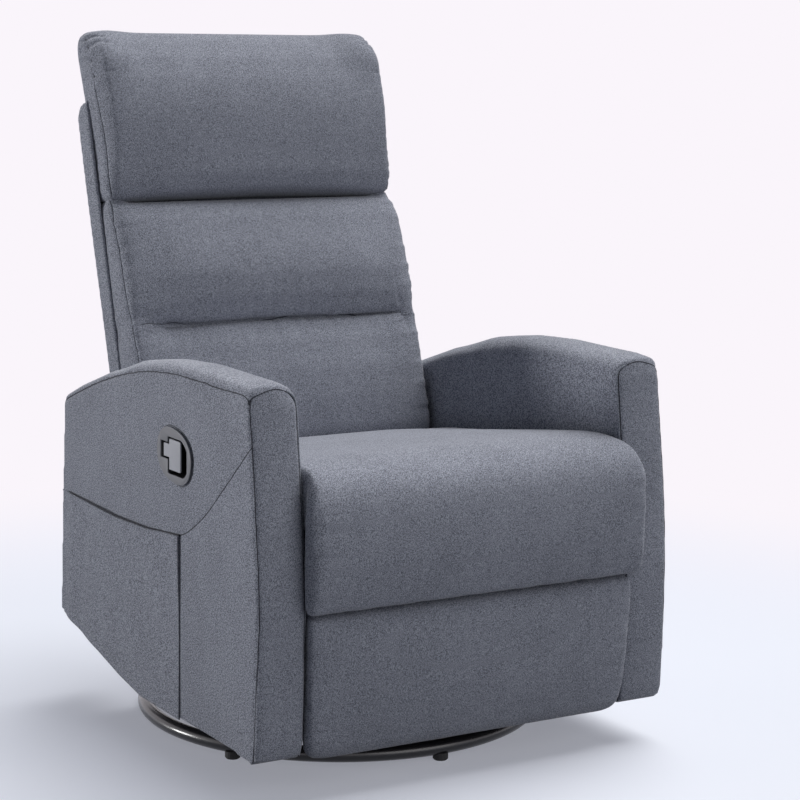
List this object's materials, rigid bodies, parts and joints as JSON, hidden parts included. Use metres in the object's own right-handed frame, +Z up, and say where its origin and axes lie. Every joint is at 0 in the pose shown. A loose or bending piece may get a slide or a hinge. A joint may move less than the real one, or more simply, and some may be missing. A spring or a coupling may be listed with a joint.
{
  "type": "swivel glider recliner",
  "caption": "Upholstered armchair that swivels and glides on a round base, reclines at its back and opens a two-part footrest by a lever in the arm.",
  "frame": {"origin": "on the floor, under the axis on which the chair swivels, at the middle of the chair's outline", "axes": "+Z up, the sitter faces -Y, +X to the sitter's left"},
  "size_m": [0.7376, 0.8936, 1.1074],
  "materials": {
    "fabric": "slate blue-grey heathered chenille, matte",
    "black_cloth": "thin black dust cloth",
    "black_tube": "gloss black tube",
    "black_steel": "semi-gloss black steel",
    "wood": "plain plywood",
    "handle_plastic": "dark grey moulded plastic, fine texture",
    "rubber": "black rubber"
  },
  "bodies": {
    "base": {"base_ring": "black_tube", "base_arm_1": "black_tube", "base_arm_2": "black_tube", "base_arm_3": "black_tube", "base_arm_4": "black_tube", "base_foot_1": "rubber", "base_foot_2": "rubber", "base_foot_3": "rubber", "base_foot_4": "rubber", "base_foot_5": "rubber", "base_foot_6": "rubber", "hub_plate": "black_steel", "swivel_bolt": "black_steel", "bearing_ring": "black_steel"},
    "turntable": {"turntable_plate": "black_steel", "glider_side_plate_left": "black_steel", "glider_side_plate_right": "black_steel", "glide_axle_front": "black_steel", "glide_axle_rear": "black_steel"},
    "glide_front": {"glide_link_front_left": "black_steel", "glide_link_front_right": "black_steel"},
    "glide_rear": {"glide_link_rear_left": "black_steel", "glide_link_rear_right": "black_steel"},
    "carriage": {"box_board_front": "wood", "box_board_rear": "wood", "hanger_rail_left": "black_steel", "hanger_rail_right": "black_steel", "mechanism_plate_left": "black_steel", "mechanism_plate_right": "black_steel", "seat_spring_1": "black_steel", "seat_spring_2": "black_steel", "seat_spring_3": "black_steel", "rear_flap": "black_cloth", "arm_frame_left": "wood", "arm_frame_right": "wood", "arm_panel_left": "fabric", "arm_panel_right": "fabric", "arm_cap_left": "fabric", "arm_cap_right": "fabric", "side_pocket_left": "fabric", "side_pocket_right": "fabric", "handle_cup": "handle_plastic", "release_cable": "rubber", "seat_cushion": "fabric"},
    "lever": {"release_lever": "handle_plastic"},
    "upper_pad": {"footrest_upper_pad": "fabric"},
    "lower_pad": {"footrest_lower_pad": "fabric", "footrest_cross_bracket": "black_steel"},
    "rear_links": {"footrest_rear_link_left": "black_steel", "footrest_rear_link_right": "black_steel", "footrest_drive_tube": "black_steel"},
    "front_links": {"footrest_front_link_left": "black_steel", "footrest_front_link_right": "black_steel"},
    "back": {"back_shell": "fabric", "back_board": "wood", "back_bracket_left": "black_steel", "back_bracket_right": "black_steel", "lumbar_pillow": "fabric", "middle_pillow": "fabric", "head_pillow": "fabric"}
  },
  "joints": [
    {"name": "swivel", "type": "hinge", "parent": "base", "child": "turntable", "pos_m": [0, 0, 0.06], "axis": [0, 0, 1], "continuous": true},
    {"name": "glide", "type": "hinge", "parent": "turntable", "child": "glide_front", "pos_m": [0, -0.105, 0.179], "axis": [-1, 0, 0], "range_deg": [-25, 25]},
    {"name": "glide_rear", "type": "hinge", "parent": "turntable", "child": "glide_rear", "pos_m": [0, 0.105, 0.179], "axis": [-1, 0, 0], "range_deg": [-25, 25]},
    {"name": "carriage_level", "type": "hinge", "parent": "glide_front", "child": "carriage", "pos_m": [0, -0.105, 0.091], "axis": [-1, 0, 0], "range_deg": [-25, 25]},
    {"name": "recline", "type": "hinge", "parent": "carriage", "child": "back", "pos_m": [0, 0.212, 0.352], "axis": [-1, 0, 0], "range_deg": [0, 30]},
    {"name": "footrest", "type": "hinge", "parent": "carriage", "child": "upper_pad", "pos_m": [0, -0.418, 0.472], "axis": [-1, 0, 0], "range_deg": [0, 90]},
    {"name": "footrest_lower", "type": "hinge", "parent": "upper_pad", "child": "lower_pad", "pos_m": [0, -0.377, 0.27835], "axis": [-1, 0, 0], "range_deg": [-7, 0]},
    {"name": "footrest_rear_links", "type": "hinge", "parent": "carriage", "child": "rear_links", "pos_m": [0, -0.2868, 0.2997], "axis": [-1, 0, 0], "range_deg": [0, 80.65]},
    {"name": "footrest_front_links", "type": "hinge", "parent": "lower_pad", "child": "front_links", "pos_m": [0, -0.354, 0.263], "axis": [1, 0, 0], "range_deg": [0, 114.16]},
    {"name": "release_handle", "type": "hinge", "parent": "carriage", "child": "lever", "pos_m": [-0.3533, -0.098, 0.472], "axis": [0, 0, -1], "range_deg": [0, 40], "stiffness_Nm_per_rad": 0.6}
  ],
  "couplings": [
    {"joint": "glide_rear", "follows": "glide", "ratio": 1},
    {"joint": "carriage_level", "follows": "glide", "ratio": -1},
    {"joint": "footrest_lower", "follows": "footrest", "ratio": -0.077778},
    {"joint": "footrest_rear_links", "follows": "footrest", "ratio": 0.8961},
    {"joint": "footrest_front_links", "follows": "footrest", "ratio": 1.2683}
  ]
}
